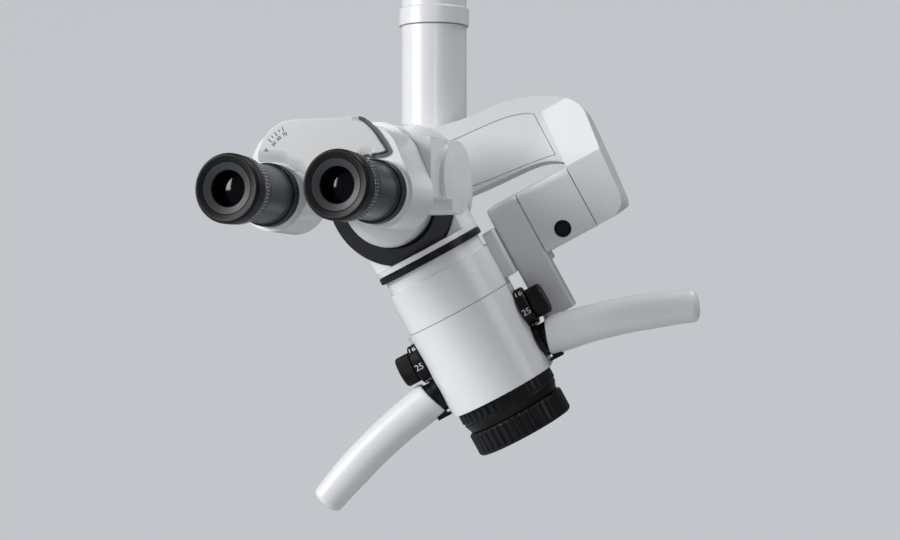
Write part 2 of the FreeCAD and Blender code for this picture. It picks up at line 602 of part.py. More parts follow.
def make_roller():
    disc = [(22.5, 2.8), (28, 2.8), (28, 8.3), (41.35, 8.3), (41.35, 12.4), (40.6, 13.2), (34.6, 13.2),
            (34.0, 12.4), (33.4, 13.2), (22.5, 13.2)]
    save("roll_disc", turned(disc, Vec(0, -1, 0)), ROLLER)
    flange = turned([(10, 13.2), (YOKE_RADIUS, 13.2), (YOKE_RADIUS, 22.4), (YOKE_RADIUS - 1.6, 25.6),
                     (YOKE_RADIUS - 7, 27), (10, 27)], Vec(0, -1, 0))
    hinge_y = HINGE_FROM_ROLL.y
    hinge_z = HINGE_FROM_ROLL.z
    web = block(-33, 33, hinge_y, -24, hinge_z - 20, hinge_z + 14)
    barrel = along_x(KNUCKLE_RADIUS, FACE_GAP - WING_INNER, WING_INNER - FACE_GAP, hinge_y, hinge_z)
    yoke = flange.fuse([web.common(along_y(YOKE_RADIUS, -60, -20)), barrel]).removeSplitter()
    yoke = yoke.cut(along_x(HINGE_PIN_RADIUS + RUN, -40, 40, hinge_y, hinge_z))
    yoke = yoke.cut(along_y(10, -80, 0))
    save("yoke", yoke, ROLLER)


# Binocular housing, cover and the two eyepiece arms

def make_binocular():
    low = ARM_PIVOT_Z + EYE_FROM_HINGE.z
    front = EYE_FROM_HINGE.y + ARM_BACK + 0.4
    body = link(-ARM_PIVOT_X, low, BRIDGE_RADIUS, ARM_PIVOT_X, low, BRIDGE_RADIUS, front, -26)
    wings = []
    for side in (1, -1):
        wing = block(WING_INNER, WING_OUTER, front, 0, -15, WING_RADIUS)
        wing = wing.fuse(along_x(WING_RADIUS, WING_INNER, WING_OUTER + 3, 0, 0))
        wing = wing.cut(block(20, 62, -60, -10, -30, -15)).removeSplitter()
        wings.append(wing if side == 1 else mirrored(wing))
    body = body.fuse(wings).removeSplitter()
    body = body.cut(along_x(HINGE_PIN_RADIUS, -WING_OUTER, WING_OUTER, 0, 0))
    for side in (1, -1):
        body = body.cut(along_y(POST_RADIUS, -41, -24, side * ARM_PIVOT_X, low))
    body = body.cut(along_x(KNUCKLE_RADIUS + 0.4, -WING_INNER, WING_INNER, 0, 0))
    save("binocular_housing", body, HINGE)
    save("hinge_pin", along_x(HINGE_PIN_RADIUS, 0.2 - WING_OUTER, WING_OUTER - 0.2, 0, 0), HINGE)
    outline = link(-ARM_PIVOT_X, ARM_PIVOT_Z, BRIDGE_RADIUS, ARM_PIVOT_X, ARM_PIVOT_Z, BRIDGE_RADIUS,
                   0.0, COVER_THICKNESS)
    cover = outline.cut(block(-60, 60, -5, 20, -30, ARM_PIVOT_Z - 0.5))
    posts = []
    for x in (-ARM_PIVOT_X, ARM_PIVOT_X):
        posts.append(along_y(POST_RADIUS, COVER_THICKNESS - 1, 51.0, x, ARM_PIVOT_Z))
    cover = cover.fuse(posts).removeSplitter()
    save("bridge_cover", cover, EYES)


def make_arm(name, side):
    """Prism arm that turns about its pivot post and carries one eyepiece."""
    front = COVER_THICKNESS + 0.4
    eye_x = side * PUPIL_HALF
    arm = link(side * ARM_PIVOT_X, ARM_PIVOT_Z, 19.6, eye_x, 0, LOBE_RADIUS, front, ARM_BACK)
    shoulder = link(side * 28, ARM_PIVOT_Z - 2, 22.6, eye_x, 0, LOBE_RADIUS, front, ARM_BACK)
    boss = along_y(BOSS_RADIUS, 0.4, front, eye_x, 0)
    arm = arm.fuse([shoulder, boss]).removeSplitter()
    arm = arm.cut(along_y(POST_RADIUS + RUN, 0, 40, side * ARM_PIVOT_X, ARM_PIVOT_Z))
    arm = arm.cut(along_y(BARREL_RADIUS, -1, 33, eye_x, 0))
    save(name, arm, EYES)


def make_eyepiece(side_name, x):
    forward = Vec(0, -1, 0)
    centre = Vec(x, 0, 0)
    wide = EYEPIECE_RADIUS
    sleeve = SLEEVE_RADIUS
    barrel = [(11, -8), (BARREL_RADIUS - 0.05, -8), (BARREL_RADIUS - 0.05, -0.4), (wide, -0.4), (wide, 4.4),
              (wide - 1.6, 5.2), (wide - 1.6, 38), (sleeve, 38), (sleeve, 53), (14, 53), (14, 4), (11, 4)]
    save(side_name + "_eyepiece", turned(barrel, forward, centre), EYES)
    bore = sleeve + RUN
    ring = turned([(bore, 38.3), (wide - 0.4, 38.3), (wide, 38.4), (wide, 43.6), (wide - 0.4, 44), (bore, 44)])
    ring = ring.fuse(ribbed(wide + 0.4, 0.5, 48, 38.4, 43.6)).cut(along_z(bore, 30, 50)).removeSplitter()
    ring.Placement = Place(centre, Turn(Z_AXIS, forward))
    save(side_name + "_diopter_ring", ring, EYES)
    cup = [(bore, 44.4), (EYECUP_RADIUS - 1.4, 44.4), (EYECUP_RADIUS - 0.4, 46.5), (EYECUP_RADIUS, 52),
           (EYECUP_RADIUS, 60), (EYECUP_RADIUS - 0.8, 62), (EYECUP_RADIUS - 2.4, 62), (17.6, 58),
           (14.6, 55.4), (14.6, 53.4), (bore, 53.4)]
    save(side_name + "_eyecup", turned(cup, forward, centre), EYES)
    lens = cylinder(14, Vec(x, -48, 0), 3.5, forward)
    radius = 60.0
    lens = lens.common(Part.makeSphere(radius, Vec(x, -51.5 + radius, 0)))
    save(side_name + "_eye_lens", lens, EYES)


def build():
    os.makedirs("parts", exist_ok=True)
    make_collar()
    make_column()
    make_arch()
    make_tilt_block()
    make_carrier_arm()
    make_housings()
    make_chassis()
    make_drum()
    make_knobs()
    make_objective()
    make_handles()
    make_ring()
    make_adapter()
    make_roller()
    make_binocular()
    make_arm("left_arm", -1)
    make_arm("right_arm", 1)
    make_eyepiece("left", -PUPIL_HALF)
    make_eyepiece("right", PUPIL_HALF)


build()
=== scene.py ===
import math

import bmesh
import bpy
import numpy as np
from bpy.props import FloatProperty, FloatVectorProperty, IntProperty, PointerProperty
from mathutils import Matrix, Vector


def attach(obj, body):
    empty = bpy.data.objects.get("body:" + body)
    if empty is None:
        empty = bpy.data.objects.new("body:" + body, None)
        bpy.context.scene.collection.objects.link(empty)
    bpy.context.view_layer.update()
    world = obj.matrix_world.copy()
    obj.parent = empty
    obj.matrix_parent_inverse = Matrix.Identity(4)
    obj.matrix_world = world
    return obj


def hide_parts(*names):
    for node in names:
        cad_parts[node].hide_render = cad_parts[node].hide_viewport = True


bl_info = {
    "name": "Surgical Microscope Head",
    "version": (1, 0, 0),
    "blender": (4, 5, 0),
    "location": "View3D > Sidebar > Microscope",
    "description": "Finishes and fine pieces of a hanging surgical microscope head",
    "category": "Object",
}

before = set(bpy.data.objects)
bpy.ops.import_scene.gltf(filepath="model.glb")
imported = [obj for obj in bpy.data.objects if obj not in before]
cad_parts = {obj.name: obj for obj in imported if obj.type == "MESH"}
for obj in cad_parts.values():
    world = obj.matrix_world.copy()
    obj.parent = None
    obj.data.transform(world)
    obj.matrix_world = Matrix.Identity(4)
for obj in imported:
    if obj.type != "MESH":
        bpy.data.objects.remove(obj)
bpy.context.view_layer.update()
MM = 0.001
MERGE_GAP = 1e-7
THIN_EDGE = 1e-8

# Where the sub-assemblies stand at rest, each in the frame before it: places in millimetres, turns in degrees
ARCH_PLACE = (0, 0, -130)
ARCH_LEAN = 27.6
BODY_PLACE = (-15.41, -93.8, -63.45)
BODY_TILT = 8.8
ADAPTER_SWIVEL = -17.63
ROLLER_PLACE = (0, 0, 47.8)
ROLLER_TURN = 24.57
HINGE_PLACE = (0, -38.2, 17.9)
HINGE_INCLINE = -15.64
EYES_PLACE = (0, -77, -14)


def turn(axis, degrees):
    return Matrix.Rotation(math.radians(degrees), 4, Vector(axis))


def shift(x, y, z):
    return Matrix.Translation(Vector((x, y, z)) * MM)


ARCH = shift(*ARCH_PLACE) @ turn((0, -1, 0), ARCH_LEAN)
BODY = ARCH @ shift(*BODY_PLACE) @ turn((1, 0, 0), BODY_TILT)
ADAPTER = BODY @ turn((0, 0, 1), ADAPTER_SWIVEL)
ROLLER = ADAPTER @ shift(*ROLLER_PLACE) @ turn((0, 1, 0), ROLLER_TURN)
HINGE = ROLLER @ shift(*HINGE_PLACE) @ turn((1, 0, 0), HINGE_INCLINE)
EYES = HINGE @ shift(*EYES_PLACE)
ALONG_X = turn((0, 1, 0), 90)
ALONG_MINUS_X = turn((0, 1, 0), -90)
ALONG_MINUS_Y = turn((1, 0, 0), 90)


# Mesh helpers

# A softened corner takes at most this share of the shorter side beside it
SOFT_SHARE = 0.45
# Ribs are cut where the profile comes this near to its largest radius, and each flank takes this share of a
# half pitch
RIB_REACH = 2.5
RIB_FLANK = 0.25
# A letter of the font is this high at size 1, and stands this far to each side of its middle sheet. Its
# points merge below the gap, and edges longer than the limit are divided
FONT_HEIGHT = 0.7
FONT_SHEET = 0.02
LETTER_GAP = 1e-5
LONG_EDGE = 0.12


def soften(profile, steps=4):
    """Round a closed (radius, height, soft) profile: each corner becomes a quadratic curve that starts and
    ends at the distance soft from it, with the corner as its middle control point."""
    points = np.asarray(profile, float)
    corner = points[:, :2]
    before = np.roll(corner, 1, 0) - corner
    after = np.roll(corner, -1, 0) - corner
    reach_before = np.linalg.norm(before, axis=1)
    reach_after = np.linalg.norm(after, axis=1)
    soft = np.minimum(points[:, 2], SOFT_SHARE * np.minimum(reach_before, reach_after))
    start = corner + before * (soft / reach_before)[:, None]
    end = corner + after * (soft / reach_after)[:, None]
    t = np.linspace(0, 1, steps)[None, :, None]
    curve = start[:, None] * (1 - t) ** 2 + corner[:, None] * 2 * t * (1 - t) + end[:, None] * t ** 2
    return curve.reshape(-1, 2)


def grid_faces(rows, columns):
    """Quads of a grid whose rows and columns both close on themselves."""
    i, j = np.meshgrid(np.arange(rows), np.arange(columns), indexing="ij")
    right = (j + 1) % columns
    up = (i + 1) % rows
    quads = np.stack([i * columns + j, i * columns + right, up * columns + right, up * columns + j], -1)
    return quads.reshape(-1, 4)


def put_mesh(name, points, faces, place, finish, body):
    """Make a mesh object from points in millimetres in a sub-assembly's frame, with outward faces."""
    mesh = bpy.data.meshes.new(name)
    mesh.from_pydata((np.asarray(points, float) * MM).tolist(), [], [tuple(face) for face in faces])
    work = bmesh.new()
    work.from_mesh(mesh)
    bmesh.ops.remove_doubles(work, verts=work.verts, dist=MERGE_GAP)
    bmesh.ops.dissolve_degenerate(work, edges=work.edges, dist=THIN_EDGE)
    bmesh.ops.recalc_face_normals(work, faces=work.faces)
    if work.calc_volume(signed=True) < 0:
        bmesh.ops.reverse_faces(work, faces=work.faces)
    for face in work.faces:
        face.smooth = True
    work.to_mesh(mesh)
    work.free()
    mesh.transform(place)
    piece = bpy.data.objects.new(name, mesh)
    bpy.context.scene.collection.objects.link(piece)
    mesh.materials.append(finish)
    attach(piece, body)
    return piece


def face_middles(piece, place):
    """Middles of a piece's faces in a sub-assembly's frame, in millimetres."""
    flat = np.empty(len(piece.data.polygons) * 3)
    piece.data.polygons.foreach_get("center", flat)
    back = np.array(place.inverted())
    return (flat.reshape(-1, 3) @ back[:3, :3].T + back[:3, 3]) / MM


def second_finish(piece, finish, chosen):
    """Give another finish to the chosen faces of a piece."""
    piece.data.materials.append(finish)
    piece.data.polygons.foreach_set("material_index", chosen.astype(np.int32))


def weigh_normals(piece):
    """Keep flat faces flat between their softened edges."""
    weighted = piece.modifiers.new("even shading", "WEIGHTED_NORMAL")
    weighted.weight = 80
    weighted.keep_sharp = True


def ring_surface(profile, count, ribs=0, depth=0.0, band=(0.0, 0.0), share=0.5):
    """Turn a closed (radius, height) profile about Z: x = r cos a, y = r sin a, z = h. Inside the band of
    heights the outer radius drops by depth in each groove, with flat-topped ribs and sloping flanks. A
    larger share makes the ribs wider."""
    profile = np.asarray(profile, float)
    angle = np.linspace(0, 2 * math.pi, count, endpoint=False)
    radius = np.repeat(profile[:, :1], count, 1)
    if ribs:
        phase = (angle * ribs / (2 * math.pi)) % 1.0
        groove = np.clip((np.abs(phase - 0.5) * 2 - share) / RIB_FLANK, 0, 1)
        low, high = band
        outer = profile[:, 0] > profile[:, 0].max() - RIB_REACH
        inside = (profile[:, 1] >= low) & (profile[:, 1] <= high) & outer
        radius = radius - inside[:, None] * groove[None] * depth
    height = np.repeat(profile[:, 1:2], count, 1)
    points = np.stack([radius * np.cos(angle), radius * np.sin(angle), height], -1)
    return points.reshape(-1, 3), grid_faces(len(profile), count)


def spline(knots, values, at):
    """Natural cubic spline through the values at the knots, read at every place in the array at."""
    knots = np.asarray(knots, float)
    values = np.asarray(values, float)
    step = np.diff(knots)
    slope = np.diff(values) / step
    size = len(knots)
    system = np.eye(size)
    rhs = np.zeros(size)
    middle = np.arange(1, size - 1)
    system[middle, middle - 1] = step[:-1]
    system[middle, middle] = 2 * (step[:-1] + step[1:])
    system[middle, middle + 1] = step[1:]
    rhs[middle] = 6 * (slope[1:] - slope[:-1])
    bend = np.linalg.solve(system, rhs)
    span = np.clip(np.searchsorted(knots, at) - 1, 0, size - 2)
    a = (knots[span + 1] - at) / step[span]
    b = (at - knots[span]) / step[span]
    cube = ((a ** 3 - a) * bend[span] + (b ** 3 - b) * bend[span + 1]) * step[span] ** 2 / 6
    return a * values[span] + b * values[span + 1] + cube


def step_up(value):
    """Smooth step from 0 to 1: v squared times (3 - 2 v), with v held between 0 and 1."""
    value = np.clip(value, 0, 1)
    return value * value * (3 - 2 * value)


def thin_plates(outlines, low, high):
    """Flat convex plates, all in one mesh: each outline of (x, z) points stands between two depths y. The
    outlines have the same number of points."""
    flat = np.asarray(outlines, float)
    count, size = flat.shape[:2]
    twice = np.repeat(flat[:, None], 2, 1)
    depth = np.broadcast_to(np.array([low, high])[:, None], twice.shape[:-1])
    points = np.stack([twice[..., 0], depth, twice[..., 1]], -1).reshape(-1, 3)
    ring = np.arange(size)
    after = (ring + 1) % size
    sides = np.stack([ring, ring + size, after + size, after], -1)
    faces = []
    for start in range(0, 2 * size * count, 2 * size):
        faces += [start + ring, start + size + ring[::-1], *(start + sides)]
    return points, faces


def label(name, text, height, place_points, finish, body, place, bold=0.0):
    """Letters cut from thin sheet: the text's outline is triangulated, divided finely and each point
    (across, up, thickness) in millimetres is carried to its place by place_points. The outline grows by
    bold."""
    curve = bpy.data.curves.new(name, "FONT")
    curve.body = text
    curve.size = 1.0
    curve.align_x = "CENTER"
    curve.align_y = "CENTER"
    curve.extrude = FONT_SHEET
    curve.offset = bold
    curve.resolution_u = 4
    holder = bpy.data.objects.new(name, curve)
    bpy.context.scene.collection.objects.link(holder)
    mesh = bpy.data.meshes.new_from_object(holder.evaluated_get(bpy.context.evaluated_depsgraph_get()))
    bpy.data.objects.remove(holder)
    work = bmesh.new()
    work.from_mesh(mesh)
    bmesh.ops.remove_doubles(work, verts=work.verts, dist=LETTER_GAP)
    bmesh.ops.triangulate(work, faces=work.faces)
    long_edges = [edge for edge in work.edges if edge.calc_length() > LONG_EDGE]
    bmesh.ops.subdivide_edges(work, edges=long_edges, cuts=2, use_grid_fill=True)
    bmesh.ops.triangulate(work, faces=work.faces)
    bmesh.ops.recalc_face_normals(work, faces=work.faces)
    work.to_mesh(mesh)
    work.free()
    flat = np.empty(len(mesh.vertices) * 3)
    mesh.vertices.foreach_get("co", flat)
    size = height / FONT_HEIGHT
    flat = flat.reshape(-1, 3) * [size, size, 1.0]
    moved = place_points(flat) * MM
    mesh.vertices.foreach_set("co", moved.ravel())
    mesh.transform(place)
    mesh.update()
    piece = bpy.data.objects.new(name, mesh)
    bpy.context.scene.collection.objects.link(piece)
    mesh.materials.append(finish)
    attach(piece, body)
    return piece


# Finishes

# The middle of a noise, which is spread over the whole range of a colour or a gloss
NOISE_LOW = 0.3
NOISE_HIGH = 0.7
# Height of the fine grain, in metres
GRAIN_HEIGHT = 0.0002
# Sockets of the colour mix node
MIX_FIRST = 6
MIX_SECOND = 7
MIX_RESULT = 2


def node(tree, kind, x=0, y=0, **settings):
    """A shader node at a place in the editor, with its settings."""
    made = tree.nodes.new(kind)
    made.location = (x, y)
    for name, value in settings.items():
        setattr(made, name, value)
    return made


def noise(tree, scale, detail, x, y, stretch=None):
    """Noise in the object's own coordinates, optionally stretched along its axes."""
    place = node(tree, "ShaderNodeTexCoord", x - 500, y)
    source = place.outputs["Object"]
    if stretch:
        mapping = node(tree, "ShaderNodeMapping", x - 250, y)
        mapping.inputs["Scale"].default_value = stretch
        tree.links.new(source, mapping.inputs["Vector"])
        source = mapping.outputs["Vector"]
    made = node(tree, "ShaderNodeTexNoise", x, y)
    made.inputs["Scale"].default_value = scale
    made.inputs["Detail"].default_value = detail
    tree.links.new(source, made.inputs["Vector"])
    return made.outputs["Fac"]


def spread(tree, source, low, high, x, y):
    """Map the middle of a noise onto the range from low to high."""
    made = node(tree, "ShaderNodeMapRange", x, y)
    made.inputs["From Min"].default_value = NOISE_LOW
    made.inputs["From Max"].default_value = NOISE_HIGH
    made.inputs["To Min"].default_value = low
    made.inputs["To Max"].default_value = high
    tree.links.new(source, made.inputs["Value"])
    return made.outputs["Result"]


def new_finish(name, colour, other, roughness, grain, bump, edge=0.4, metallic=0.0, coat=0.0,
               coat_roughness=0.1, blotch=14.0, stretch=None, specular=0.5):
    """A finish whose colour drifts between two close tones, whose gloss drifts between two roughnesses and
    whose surface carries a fine grain; a bevel node softens the arrises by the given millimetres."""
    finish = bpy.data.materials.new(name)
    finish.use_nodes = True
    tree = finish.node_tree
    tree.nodes.clear()
    output = node(tree, "ShaderNodeOutputMaterial", 600, 0)
    shader = node(tree, "ShaderNodeBsdfPrincipled", 300, 0)
    tree.links.new(shader.outputs["BSDF"], output.inputs["Surface"])
    tone = node(tree, "ShaderNodeMix", 60, 200, data_type="RGBA")
    tone.inputs[MIX_FIRST].default_value = (*colour, 1)
    tone.inputs[MIX_SECOND].default_value = (*other, 1)
    drift = spread(tree, noise(tree, blotch, 3, -500, 250), 0, 1, -220, 250)
    tree.links.new(drift, tone.inputs[0])
    tree.links.new(tone.outputs[MIX_RESULT], shader.inputs["Base Color"])
    gloss = spread(tree, noise(tree, blotch * 4, 4, -500, 0), roughness[0], roughness[1], -220, 0)
    tree.links.new(gloss, shader.inputs["Roughness"])
    shader.inputs["Metallic"].default_value = metallic
    shader.inputs["Specular IOR Level"].default_value = specular
    shader.inputs["Coat Weight"].default_value = coat
    shader.inputs["Coat Roughness"].default_value = coat_roughness
    relief = node(tree, "ShaderNodeBump", 60, -250)
    relief.inputs["Strength"].default_value = bump
    relief.inputs["Distance"].default_value = GRAIN_HEIGHT
    tree.links.new(noise(tree, grain, 2, -500, -250, stretch), relief.inputs["Height"])
    if edge:
        soft = node(tree, "ShaderNodeBevel", -220, -420, samples=4)
        soft.inputs["Radius"].default_value = edge * MM
        tree.links.new(soft.outputs["Normal"], relief.inputs["Normal"])
    tree.links.new(relief.outputs["Normal"], shader.inputs["Normal"])
    finish.diffuse_color = (*colour, 1)
    return finish


def shade(colour, share):
    """A colour with each channel times one share."""
    return tuple(channel * share for channel in colour)


def make_finishes(colours):
    """All finishes of the microscope by name."""
    white = tuple(colours.enamel)
    cool = shade(white, 0.965)
    black = tuple(colours.anodised)
    rubber = tuple(colours.rubber)
    return {
        "enamel": new_finish("white enamel", white, cool, (0.26, 0.34), 700, 0.10, 0.7, coat=0.35,
                             coat_roughness=0.12),
        "casting": new_finish("enamelled casting", cool, shade(white, 0.95), (0.30, 0.40), 520, 0.16, 0.9,
                              coat=0.2, coat_roughness=0.15),
        "anodised": new_finish("black anodised aluminium", black, shade(black, 1.5), (0.26, 0.36), 2600,
                               0.12, 0.25, specular=0.22),
        "gloss": new_finish("polished black bearing", shade(black, 0.8), black, (0.14, 0.22), 900, 0.04,
                            0.25, specular=0.35),
        "plastic": new_finish("black knob plastic", black, shade(black, 1.4), (0.36, 0.48), 1800, 0.2, 0.2,
                              specular=0.22),
        "rubber": new_finish("eyecup rubber", rubber, shade(rubber, 1.5), (0.34, 0.46), 2200, 0.2, 0.25,
                             specular=0.2),
        "cup liner": new_finish("eyecup bevel", (0.034, 0.038, 0.041), (0.026, 0.03, 0.032), (0.36, 0.46),
                                2400, 0.12, 0.0, specular=0.35),
        "sleeve": new_finish("satin slate sleeve", (0.11, 0.12, 0.13), (0.09, 0.1, 0.11), (0.3, 0.38),
                             1600, 0.1, 0.2, metallic=0.75),
        "knurl": new_finish("bright knurl", (0.3, 0.31, 0.32), (0.22, 0.23, 0.24), (0.16, 0.24),
                            1600, 0.08, 0.15, metallic=0.85),
        "steel": new_finish("ground steel", (0.55, 0.56, 0.58), (0.48, 0.49, 0.5), (0.24, 0.36), 900, 0.2,
                            0.2, metallic=1.0, stretch=(1, 1, 12)),
        "bronze": new_finish("sintered bronze", (0.55, 0.38, 0.16), (0.45, 0.3, 0.13), (0.4, 0.55), 1500,
                             0.3, 0.2, metallic=1.0),
        "aluminium": new_finish("machined aluminium", (0.62, 0.63, 0.65), (0.54, 0.55, 0.57), (0.3, 0.42),
                                900, 0.2, 0.2, metallic=1.0, stretch=(12, 1, 1)),
        # Grey copy of the white enamel for the bridge face: painted shade, for a face turned away from the
        # light
        "face": new_finish("enamel with painted shade", shade(white, 0.74), shade(white, 0.7), (0.3, 0.4), 700, 0.08,
                           0.0, coat=0.2, coat_roughness=0.2),
        # Near-black finish for the ledge along the bridge face's right end: painted shade in that groove
        "ledge": new_finish("painted shade on ledge", (0.1, 0.11, 0.118), (0.08, 0.088, 0.095), (0.4, 0.5), 1200, 0.1,
                            0.0, specular=0.3),
        "grip": new_finish("grip shell", white, cool, (0.34, 0.44), 900, 0.14, 0.0, coat=0.12,
                           coat_roughness=0.2),
        "lens": new_finish("coated lens", (0.002, 0.002, 0.003), (0.004, 0.003, 0.006), (0.05, 0.08), 300,
                           0.0, 0.0, specular=0.25),
        "mirror": new_finish("front-silvered mirror", (0.9, 0.9, 0.9), (0.87, 0.88, 0.9), (0.02, 0.04), 300,
                             0.0, 0.0, metallic=1.0),
        "ink": new_finish("printed scale ink", (0.02, 0.02, 0.022), (0.05, 0.05, 0.055), (0.45, 0.6), 3000,
                          0.1, 0.0),
        "pale ink": new_finish("pale pointer ink", (0.3, 0.31, 0.32), (0.26, 0.27, 0.28), (0.45, 0.6), 3000,
                               0.1, 0.0),
        "number paint": new_finish("number paint", (0.72, 0.73, 0.74), (0.62, 0.63, 0.64), (0.4, 0.55),
                                   3000, 0.1, 0.0),
    }


FINISHES = {}
NODE_FINISH = {
    "casting": ["swing_arm_collar", "column_tube", "column_foot", "arch_arm", "tilt_housing", "carrier_arm",
                "side_rail", "yoke"],
    "enamel": ["arch_front_cover", "arch_rear_cover", "upper_housing", "lower_housing", "rear_cover",
               "index_marks", "left_handle", "right_handle", "adapter_housing", "binocular_housing",
               "bridge_cover", "left_arm", "right_arm"],
    "anodised": ["objective_mount_ring", "focus_ring", "dovetail_ring", "magnification_drum", "lens_cell",
                 "left_diopter_ring", "right_diopter_ring", "handle_stubs", "clamp_screw"],
    "sleeve": ["left_eyepiece", "right_eyepiece"],
    "gloss": ["roll_disc"],
    "plastic": ["friction_plug", "left_dial", "right_dial", "left_knob", "right_knob", "left_lock_button",
                "right_lock_button"],
    "rubber": ["left_eyecup", "right_eyecup"],
    "steel": ["swivel_stem", "lateral_pin", "cover_screws", "tilt_spindle", "friction_screw",
              "adapter_dovetail", "hinge_pin"],
    "bronze": ["swivel_bush", "pivot_bush", "tilt_bush", "drum_bearings"],
    "aluminium": ["optics_chassis"],
    "lens": ["drum_lenses", "objective_lens", "left_eye_lens", "right_eye_lens"],
    "mirror": ["deflection_mirror"],
}


# What a user may change

class MICROSCOPE_PG_finishes(bpy.types.PropertyGroup):
    enamel: FloatVectorProperty(name="Enamel", description="Colour of the white enamelled parts",
                                subtype="COLOR", default=(0.78, 0.79, 0.8), min=0, max=1)
    anodised: FloatVectorProperty(name="Anodised", description="Colour of the black anodised parts",
                                  subtype="COLOR", default=(0.004, 0.0044, 0.005), min=0, max=1)
    rubber: FloatVectorProperty(name="Rubber", description="Colour of the eyecups", subtype="COLOR",
                                default=(0.004, 0.004, 0.0045), min=0, max=1)


class MICROSCOPE_PG_sizes(bpy.types.PropertyGroup):
    digit_height: FloatProperty(name="Digit height", description="Height of the numbers on the dials",
                                default=0.0042, min=0.001, max=0.006, unit="LENGTH")
    scale_digit: FloatProperty(name="Scale digit height", description="Height of the pupil scale's numbers",
                               default=0.0022, min=0.001, max=0.004, unit="LENGTH")
    knob_ribs: IntProperty(name="Knob ribs", description="Ribs round each magnification knob", default=40,
                           min=12, max=120)
    grip_ribs: IntProperty(name="Objective ribs", description="Ribs round each ring of the objective",
                           default=40, min=12, max=120)
    ring_ribs: IntProperty(name="Eyepiece ribs", description="Ribs round each dioptre ring", default=60,
                           min=12, max=120)


class MICROSCOPE_PG_stage(bpy.types.PropertyGroup):
    floor_drop: FloatProperty(name="Floor height", description="Height of the floor", default=-1.0,
                              unit="LENGTH")
    key_power: FloatProperty(name="Key light", description="Power of the large lamp on the left",
                             default=72.0, min=0, unit="POWER")
    fill_power: FloatProperty(name="Fill light", description="Power of the lamp on the right", default=8.0,
                              min=0, unit="POWER")
    top_power: FloatProperty(name="Top light", description="Power of the lamp above and behind",
                             default=31.0, min=0, unit="POWER")
    background: FloatVectorProperty(name="Background", description="Colour of the floor and backdrop",
                                    subtype="COLOR", default=(0.57, 0.585, 0.61), min=0, max=1)


# Operators, one for each group of pieces

class MICROSCOPE_OT_finishes(bpy.types.Operator):
    """Make the finishes and put them on the microscope's own parts"""
    bl_idname = "microscope.finishes"
    bl_label = "Finishes"

    def execute(self, context):
        FINISHES.update(make_finishes(context.scene.microscope_finishes))
        for finish, names in NODE_FINISH.items():
            for name in names:
                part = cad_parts[name]
                part.data.materials.clear()
                part.data.materials.append(FINISHES[finish])
        return {"FINISHED"}


# In the body's frame: the drum's axis, the knobs' feet, and the middle and radius of the printed rims
DRUM_HEIGHT = -58
KNOB_FOOT = 43.8
DIAL_MIDDLE = 40.3
DIAL_RADIUS = 13.62
DIAL_NUMBERS = ("25", "40", "4", "6", "10", "16")
# Place of the first number round the rim, in degrees, on the right dial and on the left one, and how many
# times thicker a number stands than its sheet
DIAL_START = {1: 100, -1: 95}
NUMBER_RAISE = 2


class MICROSCOPE_OT_dials(bpy.types.Operator):
    """Magnification knobs with fine ribs and the numbers round their dials"""
    bl_idname = "microscope.dials"
    bl_label = "Knobs and dials"

    def execute(self, context):
        sizes = context.scene.microscope_sizes
        knob = soften([(0.02, 0, 0), (9.4, 0, 0.2), (10.4, 1.2, 0.3), (10.4, 9.7, 0.4), (9.6, 11, 0.8),
                       (7.8, 11, 0.3), (7.4, 10.6, 0.2), (0.02, 10.6, 0)])
        ribs = sizes.knob_ribs
        for side, heading, sign in (("right", ALONG_X, 1), ("left", ALONG_MINUS_X, -1)):
            points, faces = ring_surface(knob, ribs * 8, ribs, depth=0.6, band=(1.6, 9.6), share=0.4)
            place = BODY @ shift(sign * KNOB_FOOT, 0, DRUM_HEIGHT) @ heading
            piece = put_mesh("fine_" + side + "_knob", points, faces, place, FINISHES["plastic"], "drum")
            weigh_normals(piece)
            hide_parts(side + "_knob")
            self.number_dial(side, sign, sizes.digit_height / MM)
        return {"FINISHED"}

    def number_dial(self, side, sign, height):
        """Numbers round the dial: across runs along the knob's axis and up runs round its rim."""
        for index, text in enumerate(DIAL_NUMBERS):
            middle = math.radians(360 / len(DIAL_NUMBERS) * index + DIAL_START[sign])

            def wrap(flat, middle=middle):
                angle = middle - flat[:, 1] / DIAL_RADIUS
                radius = DIAL_RADIUS + flat[:, 2] * NUMBER_RAISE
                return np.stack([sign * DIAL_MIDDLE + flat[:, 0], -radius * np.sin(angle),
                                 radius * np.cos(angle)], -1)

            label(side + "_number_" + str(index), text, height, wrap, FINISHES["number paint"], "drum",
                  BODY @ shift(0, 0, DRUM_HEIGHT))


class MICROSCOPE_OT_objective(bpy.types.Operator):
    """Ribbed rings of the objective"""
    bl_idname = "microscope.objective"
    bl_label = "Objective"

    def execute(self, context):
        ribs = context.scene.microscope_sizes.grip_ribs
        upper = soften([(26.6, -91.9, 0.1), (29, -91.9, 0.2), (29, -99.85, 0), (33.4, -99.85, 0.3),
                        (34.6, -100.8, 0.4), (34.6, -107.2, 0.4), (33.5, -108.2, 0.3), (33.9, -109.4, 0.4),
                        (32.2, -113.6, 0.5), (32.0, -114.8, 0.2), (26.6, -114.8, 0.1)])
        lower = soften([(26.6, -115.2, 0.1), (32.0, -115.2, 0.2), (33.2, -115.7, 0.3), (34.2, -116.6, 0.4),
                        (34.2, -129.9, 0.4), (33.0, -131.6, 0.7), (27.4, -131.6, 0.3), (26.6, -130.4, 0.3)])
        for name, profile, band, body, stood_for in (
                ("fine_mount_ring", upper, (-107.4, -100.6), "carrier", "objective_mount_ring"),
                ("fine_focus_ring", lower, (-130.2, -116.3), "focus", "focus_ring")):
            points, faces = ring_surface(profile, ribs * 12, ribs, depth=1.0, band=band, share=0.6)
            piece = put_mesh(name, points, faces, BODY, FINISHES["anodised"], body)
            weigh_normals(piece)
            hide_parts(stood_for)
        return {"FINISHED"}


# Half the distance between the eyepieces; heights along each eyepiece are measured from its arm's face
EYE_SHIFT = 36.5
